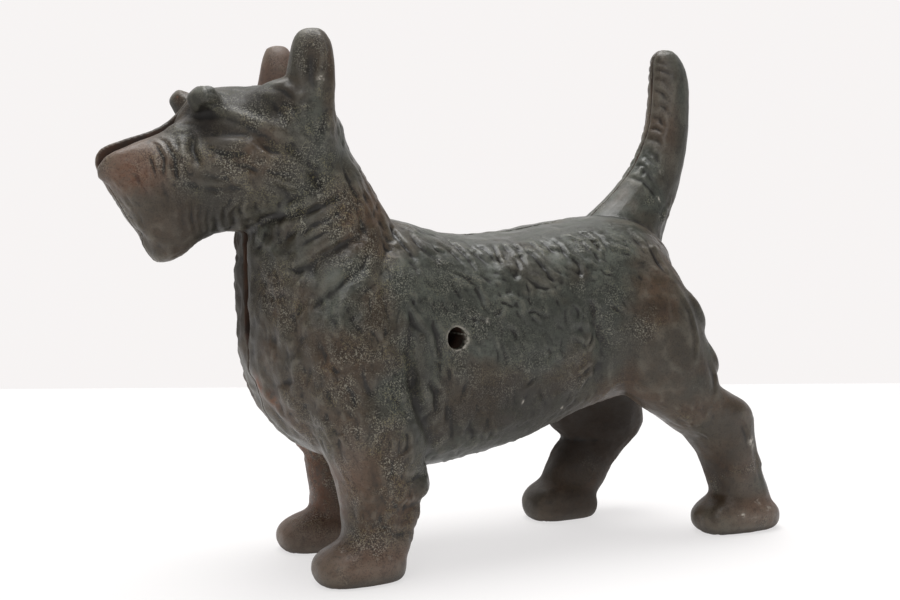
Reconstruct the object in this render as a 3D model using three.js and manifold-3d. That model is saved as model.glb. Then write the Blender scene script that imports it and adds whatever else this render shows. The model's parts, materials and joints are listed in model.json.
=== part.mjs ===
// A cast iron still bank: a standing terrier cast as two hollow halves that meet on the
// lengthwise middle plane and are drawn together by one long machine screw.
// Millimetres. +Z is up, -X is the way the dog faces, -Y is its left side.
// The origin is on the floor, under the middle of the dog.
import * as THREE from "three";
import { mergeVertices } from "three/addons/utils/BufferGeometryUtils.js";
import Module from "manifold-3d";

const wasm = await Module();
wasm.setup();

// ---- Driving dimensions ----

const WALL = 4.5; // casting wall round the coin room
const SEAM = 0.3; // gap between the two halves
const BIG = 400; // larger than the dog every way

// The screw runs along Y, above and behind the shoulder.
const SCREW = { x: -21, z: 78.5, boreR: 3.5, clearanceR: 3.7, radius: 3.1, bossR: 8 };
const SCREW_TIP_Y = -22; // the tip stops inside the left half's boss
const HEAD_OF_SCREW = { radius: 6, height: 3.4, slotWidth: 1.6, slotDepth: 1.6, gap: 0.3 };
const SPOT_FACE = { radius: 7.4, y: 34.5 }; // flat seat for the head in the right flank
const COIN_SLOT = { fromX: 2, toX: 38, width: 3.2, bottomZ: 100, topZ: 125 };
const PIN = { radius: 2.5, socketR: 2.8, length: 5, socketDepth: 5.6 };
const PIN_PLACES = [
  { x: -108, z: 126 },
  { x: 84, z: 134 },
];

const PAINTED_IRON = { color: 0x454541, roughness: 0.6, metalness: 0.45 };
const SCREW_STEEL = { color: 0x6a6258, roughness: 0.45, metalness: 0.9 };

// ---- Solids ----

function solidOf(geometry) {
  const bare = geometry.clone();
  bare.deleteAttribute("normal");
  bare.deleteAttribute("uv");
  const merged = mergeVertices(bare, 1e-4);
  return new wasm.Manifold(
    new wasm.Mesh({
      numProp: 3,
      vertProperties: merged.attributes.position.array,
      triVerts: new Uint32Array(merged.index.array),
    }),
  );
}

function geometryOf(solid) {
  const mesh = solid.getMesh();
  const geometry = new THREE.BufferGeometry();
  const position = new Float32Array(mesh.vertProperties);
  geometry.setAttribute("position", new THREE.BufferAttribute(position, 3));
  geometry.setIndex(new THREE.BufferAttribute(new Uint32Array(mesh.triVerts), 1));
  geometry.computeVertexNormals();
  return geometry;
}

const joined = (solids) => solids.reduce((sum, next) => sum.add(next));

function box(low, high) {
  const size = high.map((value, i) => value - low[i]);
  const middle = high.map((value, i) => (value + low[i]) / 2);
  return solidOf(new THREE.BoxGeometry(...size).translate(...middle));
}

// A round bar along Y.
function bar(radius, fromY, toY, x, z, sides = 28) {
  const geometry = new THREE.CylinderGeometry(radius, radius, toY - fromY, sides);
  return solidOf(geometry.translate(x, (fromY + toY) / 2, z));
}

// A form swept through flat sections. Along "x" each section stands upright and reads
// [x, bottom z, top z, half width, z of its widest level]. Along "z" each section lies flat and
// reads [z, front x, rear x, half width, x of its widest level].
function loft(axis, sections, options = {}) {
  const { around = 24, between = 2, square = 2.2, side = 0, inset = 0 } = options;
  const extent = new THREE.CatmullRomCurve3(
    sections.map(([at, low, high]) => new THREE.Vector3(at, low, high)),
  );
  const breadth = new THREE.CatmullRomCurve3(
    sections.map(([at, low, high, half, widest]) => {
      return new THREE.Vector3(at, half, widest ?? (low + high) / 2);
    }),
  );
  const rings = (sections.length - 1) * between;
  const geometry = new THREE.CylinderGeometry(1, 1, 1, around, rings);
  const position = geometry.attributes.position;
  const rounded = (value) => Math.sign(value) * Math.abs(value) ** (2 / square);
  for (let i = 0; i < position.count; i++) {
    const share = THREE.MathUtils.clamp(position.getY(i) + 0.5, 0, 1);
    const { x: at, y: low, z: high } = extent.getPoint(share);
    const { y: half, z: widest } = breadth.getPoint(share);
    const upward = rounded(position.getX(i));
    const sideways = rounded(position.getZ(i));
    const reach = Math.max((upward > 0 ? high - widest : widest - low) - inset, 0.4);
    const level = widest + upward * reach;
    const y = side + sideways * Math.max(half - inset, 0.4);
    if (axis === "x") position.setXYZ(i, at, y, level);
    else position.setXYZ(i, level, y, at);
  }
  const solid = solidOf(geometry);
  return solid.volume() > 0 ? solid : solidOf(turnedOut(geometry));
}

function turnedOut(geometry) {
  const { array } = geometry.index;
  for (let i = 0; i < array.length; i += 3) {
    [array[i + 1], array[i + 2]] = [array[i + 2], array[i + 1]];
  }
  return geometry;
}

// ---- The dog's form ----

const TRUNK = [
  [-58, 42, 112, 30, 74],
  [-44, 34, 118, 35, 73],
  [-30, 31.5, 117.5, 36.5, 73],
  [-15, 32.5, 113.5, 36.5, 74],
  [0, 35, 112, 37, 76],
  [16, 38.5, 113, 36.5, 79],
  [32, 44, 115.5, 36, 82],
  [48, 49, 118, 35, 85],
  [60, 51, 118.5, 33.5, 86],
  [70, 54, 116, 28, 88],
  [77, 60, 112, 21, 90],
  [82, 70, 106, 13, 91],
  [84, 82, 99, 5, 91],
];

const CHEST = [
  [38, -54, -36, 22],
  [42, -62, -31, 29],
  [49, -69.5, -28, 34],
  [60, -76, -27, 37],
  [74, -79, -27, 37.5],
  [88, -80.5, -28, 35],
  [100, -81, -28, 31],
  [110, -81, -29, 28.5],
  [120, -80, -34.5, 26.5],
  [132, -79, -42, 24.5],
  [142, -75, -47.5, 21],
  [149, -70, -53, 14],
];

const HEAD = [
  [-127, 132.5, 136, 2.5],
  [-125.2, 129, 138.5, 6.5],
  [-120, 120.5, 140.8, 10, 131],
  [-115, 112.5, 142.6, 12, 130],
  [-111, 105.5, 144, 13.5, 130],
  [-107, 103, 146, 15, 130],
  [-102, 105, 150, 17, 131],
  [-97, 109, 155.5, 20, 133],
  [-91, 112, 158.5, 22.5, 135],
  [-82, 113, 159.5, 25, 137],
  [-72, 113, 160.5, 26.5, 138],
  [-62, 115, 160, 26, 139],
  [-55, 120, 155.5, 22.5, 140],
  [-50.5, 127, 149, 15, 139],
  [-48.5, 134, 143, 6, 138],
];

const TAIL = [
  [98, 56, 80, 17],
  [108, 53, 83.5, 14.5],
  [115, 52, 86.5, 12.5],
  [119.5, 54.5, 88.5, 11.2],
  [124, 60.5, 91, 10.2],
  [133, 69.5, 94, 9],
  [143, 76.3, 96.5, 8.2],
  [154, 80.4, 97.6, 7.8],
  [166, 81.4, 97.8, 7.4],
  [174, 81.6, 96.2, 6.6],
  [179.6, 82.8, 92.8, 4.4],
  [181.8, 85.4, 89.2, 1.5],
];

const EAR = [
  [132, -70, -60.5, 3],
  [136.5, -73.5, -58, 5.8],
  [142, -75.5, -56.8, 7.4],
  [152, -74.5, -57.2, 8],
  [160, -72, -58, 7.5],
  [167, -70.5, -58, 6.8],
  [172, -69.5, -58.8, 5.4],
  [175.3, -68, -60.5, 3.2],
  [176.3, -66, -62.5, 1.2],
];

const NEAR_FRONT_LEG = [
  [6, -54, -37, 9],
  [14, -55.5, -36, 10],
  [24, -56, -33, 11.5],
  [33, -57.5, -31, 13.5],
  [42, -62, -28, 15],
  [52, -66, -26, 16],
  [62, -68, -26, 15],
  [72, -67, -28, 12],
];

const FAR_FRONT_LEG = [
  [6, -48, -32, 9],
  [14, -48.5, -31, 10],
  [24, -49, -29, 11],
  [33, -50.5, -27.5, 12.5],
  [42, -57, -26, 14.5],
  [52, -65, -26, 16],
  [62, -68, -26, 15],
  [72, -67, -28, 12],
];

const NEAR_REAR_LEG = [
  [6, 99, 122, 9],
  [14, 95, 118.5, 9.5],
  [22, 92, 115, 9.8],
  [30, 88.5, 111.5, 10.5],
  [37, 82, 110.5, 11.5],
  [43, 72, 110.5, 12.5],
  [49, 62, 105, 14],
  [56, 53, 93, 15],
  [66, 46, 89, 16],
  [78, 43, 84.5, 15.5],
  [90, 43, 79, 13],
  [100, 46, 72, 9],
  [108, 50, 66, 4],
];

const FAR_REAR_LEG = [
  [6, 49, 70, 9],
  [13, 48.5, 76, 9.5],
  [20, 51, 80, 10],
  [26, 55, 86, 10.5],
  [31, 59, 92, 11],
  [36, 53, 95, 12],
  [42, 49.5, 94, 13],
  [50, 47, 90, 14.5],
  [66, 45, 87, 16],
  [78, 43, 84.5, 15.5],
  [90, 43, 79, 13],
  [100, 46, 72, 9],
  [108, 50, 66, 4],
];

// Locks of hair that curl off the back of each front leg, from the elbow down.
const ELBOW_LOCKS = [
  { x: -31.5, z: 30, deep: 5, wide: 9, high: 4.6 },
  { x: -34.4, z: 21, deep: 4.4, wide: 8, high: 4 },
  { x: -36.8, z: 12.5, deep: 4, wide: 7, high: 3.6 },
];

// A paw, from its toe back to its heel.
const pawSections = (toe, heel, height) => {
  const length = heel - toe;
  return [
    [toe, 4, height * 0.5, 3.5],
    [toe + length * 0.06, 1.5, height * 0.68, 7.5],
    [toe + length * 0.18, -0.2, height * 0.86, 10],
    [toe + length * 0.38, -0.8, height, 11.5],
    [toe + length * 0.65, -0.8, height, 11.5],
    [toe + length * 0.86, -0.2, height * 0.8, 9.5],
    [toe + length * 0.96, 1.5, height * 0.58, 6.5],
    [heel, 4, height * 0.42, 3],
  ];
};

function leg(sections, side, toe, heel, height) {
  return joined([
    loft("z", sections, { side, around: 16, between: 1 }),
    loft("x", pawSections(toe, heel, height), { side, around: 16 }),
  ]);
}

function lump(centre, radii) {
  return solidOf(new THREE.SphereGeometry(1, 14, 8).scale(...radii).translate(...centre));
}

const elbowLocks = (side, shift) => ELBOW_LOCKS.map(({ x, z, deep, wide, high }) => {
  return lump([x + shift, side, z], [deep, wide, high]);
});

function ear(side, shift) {
  return loft("z", EAR.map(([z, front, rear, half]) => [z, front + shift, rear + shift, half]), {
    around: 14,
    side,
  });
}

const dog = joined([
  loft("x", TRUNK, { around: 36, square: 2.4 }),
  loft("z", CHEST, { around: 32, square: 2.3 }),
  loft("x", HEAD, { around: 28, square: 2.1 }),
  loft("z", TAIL, { around: 18, square: 2 }),
  ear(-21, 0),
  ear(21, 3.5),
  lump([-97.5, -11, 153.4], [6, 6.5, 4.5]),
  lump([-96, 11, 153.4], [6, 6.5, 4.5]),
  leg(NEAR_FRONT_LEG, -23, -65.5, -34.5, 14),
  leg(FAR_FRONT_LEG, 23, -61, -29, 14),
  leg(NEAR_REAR_LEG, -24, 87, 122.5, 15),
  leg(FAR_REAR_LEG, 24, 41.5, 71.5, 16),
  ...elbowLocks(-24, 0),
  ...elbowLocks(24, 3),
]).intersect(box([-BIG, -BIG, 0], [BIG, BIG, BIG]));

// The coin room: body, chest and head hollowed out, legs, ears, tail and muzzle left solid.
const room = joined([
  loft("x", TRUNK, { around: 20, between: 1, square: 2.4, inset: WALL }).intersect(
    box([-BIG, -BIG, 0], [77, BIG, BIG]),
  ),
  loft("z", CHEST, { around: 20, between: 1, square: 2.3, inset: WALL }).intersect(
    box([-BIG, -BIG, 46], [BIG, BIG, 144]),
  ),
  loft("x", HEAD, { around: 16, between: 1, square: 2.1, inset: WALL }).intersect(
    box([-100, -BIG, 0], [-54, BIG, BIG]),
  ),
]);

const coinSlot = box(
  [COIN_SLOT.fromX, -COIN_SLOT.width / 2, COIN_SLOT.bottomZ],
  [COIN_SLOT.toX, COIN_SLOT.width / 2, COIN_SLOT.topZ],
);

const leftSide = box([-BIG, -BIG, -BIG], [BIG, -SEAM / 2, BIG]);
const rightSide = box([-BIG, SEAM / 2, -BIG], [BIG, BIG, BIG]);

// ---- Left half: the screw is tapped into its post, and the bore runs out through the flank ----

const leftPost = bar(SCREW.bossR, -34, -SEAM / 2, SCREW.x, SCREW.z);
const leftBore = bar(SCREW.boreR, -60, 10, SCREW.x, SCREW.z);
const sockets = PIN_PLACES.map(({ x, z }) => {
  return bar(PIN.socketR, -PIN.socketDepth - SEAM / 2, 1, x, z, 20);
});
const leftHalf = dog
  .intersect(leftSide)
  .subtract(room)
  .add(leftPost)
  .subtract(joined([leftBore, coinSlot, ...sockets]));

// ---- Right half: clearance bore, seat for the screw head, and the two locating pins ----

const rightPost = bar(SCREW.bossR, SEAM / 2, 34, SCREW.x, SCREW.z);
const rightBore = bar(SCREW.clearanceR, -10, 60, SCREW.x, SCREW.z);
const spotFace = bar(SPOT_FACE.radius, SPOT_FACE.y, 60, SCREW.x, SCREW.z);
const pins = PIN_PLACES.map(({ x, z }) => bar(PIN.radius, -PIN.length, 1, x, z, 20));
const rightHalf = dog
  .intersect(rightSide)
  .subtract(room)
  .add(rightPost)
  .subtract(joined([rightBore, spotFace, coinSlot]))
  .add(joined(pins));

// ---- Screw ----

const headSeatY = SPOT_FACE.y + HEAD_OF_SCREW.gap;
const headTopY = headSeatY + HEAD_OF_SCREW.height;

// Turned profile, from the tip to the top of the head: [radius, distance along Y].
const screwProfile = [
  [0, SCREW_TIP_Y],
  [SCREW.radius - 0.9, SCREW_TIP_Y],
  [SCREW.radius, SCREW_TIP_Y + 0.9],
  [SCREW.radius, headSeatY],
  [HEAD_OF_SCREW.radius, headSeatY],
  [HEAD_OF_SCREW.radius, headSeatY + 1.2],
  [HEAD_OF_SCREW.radius * 0.86, headTopY - 0.9],
  [HEAD_OF_SCREW.radius * 0.55, headTopY - 0.2],
  [0, headTopY],
].map(([radius, y]) => new THREE.Vector2(radius, y));

const driverSlot = box(
  [SCREW.x - 10, headTopY - HEAD_OF_SCREW.slotDepth, SCREW.z - HEAD_OF_SCREW.slotWidth / 2],
  [SCREW.x + 10, headTopY + 5, SCREW.z + HEAD_OF_SCREW.slotWidth / 2],
);
const screw = solidOf(
  new THREE.LatheGeometry(screwProfile, 32).translate(SCREW.x, 0, SCREW.z),
).subtract(driverSlot);

// ---- The finished bank ----

function piece(name, solid, finish) {
  const mesh = new THREE.Mesh(geometryOf(solid), new THREE.MeshStandardMaterial(finish));
  mesh.name = name;
  return mesh;
}

const bank = new THREE.Group();
bank.name = "still_bank";
bank.add(
  piece("left_half", leftHalf, PAINTED_IRON),
  piece("right_half", rightHalf, PAINTED_IRON),
  piece("screw", screw, SCREW_STEEL),
);

// The stations above are measured from the middle of the back. The bank is moved so that the
// origin lies midway between the nose and the rear heel.
const extent = new THREE.Box3().setFromObject(bank);
bank.position.x = -(extent.min.x + extent.max.x) / 2;

export default bank;
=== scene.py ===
import json
import math
import bpy
import bmesh
import numpy as np
from mathutils import Matrix, Vector, kdtree

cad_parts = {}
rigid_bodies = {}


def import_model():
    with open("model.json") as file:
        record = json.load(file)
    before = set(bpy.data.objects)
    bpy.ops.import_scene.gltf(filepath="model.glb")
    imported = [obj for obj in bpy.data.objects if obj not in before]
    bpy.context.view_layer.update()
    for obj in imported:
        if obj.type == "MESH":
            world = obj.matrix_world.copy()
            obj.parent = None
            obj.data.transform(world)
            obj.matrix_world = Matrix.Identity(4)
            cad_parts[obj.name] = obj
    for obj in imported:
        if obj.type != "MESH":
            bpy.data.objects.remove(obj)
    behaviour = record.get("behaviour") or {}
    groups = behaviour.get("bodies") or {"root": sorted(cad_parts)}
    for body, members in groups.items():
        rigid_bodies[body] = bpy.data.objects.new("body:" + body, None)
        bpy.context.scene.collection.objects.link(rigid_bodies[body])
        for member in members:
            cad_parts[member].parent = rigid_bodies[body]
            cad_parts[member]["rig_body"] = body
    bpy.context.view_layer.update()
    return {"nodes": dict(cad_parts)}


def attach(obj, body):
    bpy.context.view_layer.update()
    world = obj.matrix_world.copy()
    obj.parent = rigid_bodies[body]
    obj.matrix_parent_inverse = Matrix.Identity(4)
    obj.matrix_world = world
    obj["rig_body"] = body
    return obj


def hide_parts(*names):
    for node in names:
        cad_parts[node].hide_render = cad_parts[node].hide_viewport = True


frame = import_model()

middle = 2.25  # mm from the middle of the back to the origin of the frame

# Lengths in the tables are in millimetres: x from the middle of the back towards the tail,
# y away from the near side, z up from the floor.


def toDog(points):
    return points * 1000 - np.array([middle, 0, 0])


def toFrame(points):
    return (points + np.array([middle, 0, 0])) / 1000


def spot(x, y, z):
    return Vector(((x + middle) / 1000, y / 1000, z / 1000))


def readFlat(items, field, width, kind=np.float32):
    flat = np.empty(len(items) * width, kind)
    items.foreach_get(field, flat)
    return flat.reshape(-1, width)


def readPoints(mesh):
    return toDog(readFlat(mesh.vertices, "co", 3).astype(float))


def readNormals(mesh):
    return readFlat(mesh.vertex_normals, "vector", 3).astype(float)


def readEdges(mesh):
    return readFlat(mesh.edges, "vertices", 2, np.int32)


def writePoints(mesh, points):
    mesh.vertices.foreach_set("co", toFrame(points).astype(np.float32).ravel())
    mesh.update()


def softened(points, edges, weight, passes, least=0.03):
    # smooths only where the weight asks for it
    used = np.unique(edges[(weight[edges] > least).any(1)])
    index = np.full(len(points), -1)
    index[used] = np.arange(len(used))
    inner = index[edges]
    inner = inner[(inner >= 0).all(1)]
    part, share = points[used], 0.5 * weight[used][:, None]
    for _ in range(passes):
        part = part + share * (neighbourMean(part, inner, len(used)) - part)
    points = points.copy()
    points[used] = part
    return points


def neighbourMean(values, edges, count):
    a, b = edges[:, 0], edges[:, 1]
    sums = [np.bincount(a, v[b], count) + np.bincount(b, v[a], count) for v in values.T]
    degree = np.bincount(a, minlength=count) + np.bincount(b, minlength=count)
    return np.stack(sums, 1) / np.maximum(degree, 1)[:, None]


def smoothStep(low, high, value):
    t = np.clip((value - low) / (high - low), 0, 1)
    return t * t * (3 - 2 * t)


def fades(*steps):
    # smooth steps multiplied together: each is a value, where it starts and where it is complete
    total = 1
    for value, start, end in steps:
        total = total * smoothStep(start, end, value)
    return total


def latticeNoise(points, scale, seed):
    # smooth random values from -1 to 1, about one bump every `scale` millimetres
    size, shift = 32, 1000  # the shift keeps every cell number above zero
    lattice = np.random.RandomState(seed).uniform(-1, 1, (size, size, size))
    p = points / scale + shift
    cell = np.floor(p).astype(int)
    f = p - cell
    f = f * f * (3 - 2 * f)
    total = 0
    for dx in (0, 1):
        for dy in (0, 1):
            for dz in (0, 1):
                share = (f[:, 0] if dx else 1 - f[:, 0]) * (f[:, 1] if dy else 1 - f[:, 1])
                share = share * (f[:, 2] if dz else 1 - f[:, 2])
                corner = (cell + [dx, dy, dz]) % size
                total = total + share * lattice[corner[:, 0], corner[:, 1], corner[:, 2]]
    return total


def waves(points, layers):
    return sum(height * latticeNoise(points, length, seed) for height, length, seed in layers)


def applied(piece):
    # the piece's modifiers become its mesh
    bpy.context.view_layer.update()
    evaluated = piece.evaluated_get(bpy.context.evaluated_depsgraph_get())
    mesh = bpy.data.meshes.new_from_object(evaluated)
    piece.modifiers.clear()
    piece.data = mesh
    return mesh


def newPiece(name, bm):
    mesh = bpy.data.meshes.new(name)
    bm.to_mesh(mesh)
    bm.free()
    piece = bpy.data.objects.new(name, mesh)
    bpy.context.scene.collection.objects.link(piece)
    return piece


def rod(bm, radius, y0, y1, x, z):
    # a closed round bar along Y, from y0 to y1
    turn = Matrix.Rotation(-math.pi / 2, 4, "X")
    bmesh.ops.create_cone(
        bm, cap_ends=True, segments=48, radius1=radius / 1000, radius2=radius / 1000,
        depth=(y1 - y0) / 1000, matrix=Matrix.Translation(spot(x, (y0 + y1) / 2, z)) @ turn,
    )


casting = {
    "grid": 0.64,  # between points of the sculpted skin
    "blend": 12,  # passes over the joins of the rough form
    "drawIn": 0.55,  # share of the way to its neighbours that a pass moves each point
    "letOut": 0.53,  # and then back, so the form doesn't shrink
    "soften": 60,  # passes over the soft places
    "carved": 2.4,  # most that the masses cut in, because the walls are only 4 mm thick
    "raised": 1.0,  # most that the hair stands out
    "sunk": 1.7,  # and cuts in
    "waves": [(0.45, 10, 3), (0.28, 4.2, 4), (0.09, 1.8, 5)],  # height, length, seed
    "chestWaves": [(1.2, 7.5, 8), (0.6, 3.6, 9)],
    "mostFaces": 184000,
    "seam": 0.15,  # half the gap between the halves
    "length": (-126.9, 122.4),
    "halfWidth": 39.9,
    "height": (0.02, 181.7),
    "soleLoss": 1.1,  # what flattening takes off the soles
    "sharp": 58,  # degrees: a steeper edge is left crisp
}

# Clay laid on the rough form before it is sculpted: x, y outwards, z, half length, half thickness,
# half height, lean in degrees, and 0 for both halves, -1 for the near one or 1 for the far one
clay = [
    [-77, 17, 154.6, 9.5, 7, 5, 30, -1],  # fur in front of the near ear
    [-98, 12, 154.8, 4.6, 5.4, 3.8, 0, 1],  # the far brow stands higher
    [-35.8, 24, 21, 4.7, 8.6, 23, -12, 0],  # behind the front leg
    [-31.2, 24, 33.4, 4.4, 8.4, 6.6, 0, 0],
    [-36.6, 24, 10.5, 3.4, 7, 3.2, 0, 0],
    [77.8, 30, 84.4, 9.5, 5, 3.0, -56, -1],  # tufts down the back of the thigh
    [85, 30, 67, 8, 5, 3.0, -60, -1],
    [100.6, 27, 43.8, 6.4, 8, 5.8, -10, -1],
]

# Places where the rough form is worked smooth: x, z, half width, half height, amount
softPlaces = [
    [-77, 154, 12, 9, 1], [-90, 153, 6, 6, 0.8], [-100, 150, 5, 4, 0.3], [-62, 146, 10, 12, 1],
    [-66, 158, 8, 10, 0.6], [-54, 17, 16, 9, 1], [-36, 22, 9, 24, 0.6], [-30, 40, 8, 12, 0.9],
    [-38, 8, 8, 6, 0.8], [71, 88, 7, 12, 0.35], [78, 74, 7, 12, 0.3], [96, 46, 12, 12, 0.5],
    [98, 17, 16, 8, 1], [60, 16, 16, 9, 1], [60, 60, 20, 20, 0.6],
]

# Soft masses, seen from the side: x, z, half width, half height, lean in degrees, height of the swelling
masses = [
    [-97, 145, 5, 5, 0, -2.6],  # eye socket, under the brow
    [-99.6, 141, 3, 6, 0, -1.0],
    [-90, 143.6, 6, 2.6, -14, -1.0],
    [-93.6, 155.4, 6, 2.6, 4, 0.9],  # brow
    [-84, 148, 9, 4, -20, 0.7],
    [-85, 131, 13, 6, 0, 0.9],  # cheek
    [-104, 134, 6, 6, 0, 0.9],  # whisker pad
    [-67.4, 163.6, 3.2, 8.6, -4, -2.2],  # hollow of the ear
    [-66, 148, 7, 7, 0, 0.8],
    [-65, 131, 3.5, 6, 20, -1.4],  # behind the jaw
    [-116, 131, 5, 4, 30, -0.6],
    [-107, 118, 7, 8, 0, 0.5],
    [-42, 84, 15, 20, 10, 1.3],  # shoulder
    [-26, 70, 5, 22, 6, -1.3],
    [-63, 76, 8, 16, 0, 0.7],
    [-60, 103, 9, 3.5, 30, -0.8],
    [-50, 52, 10, 8, 0, 0.6],
    [2, 72, 22, 14, 0, 0.5],
    [37, 80, 6, 20, -8, -1.5],  # fold in front of the thigh
    [34, 58, 5, 9, -30, -0.9],
    [60, 76, 18, 18, 0, 1.0],  # thigh
    [98, 47, 7, 5, 0, 1.4],  # hock
    [80, 57, 8, 7, 0, 0.5],
    [92, 60, 4, 4, 0, -0.7],
    [62, 104, 8, 5, -40, -0.8],
    [-42, 28, 12, 9, 0, 0.5],
]

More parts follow.
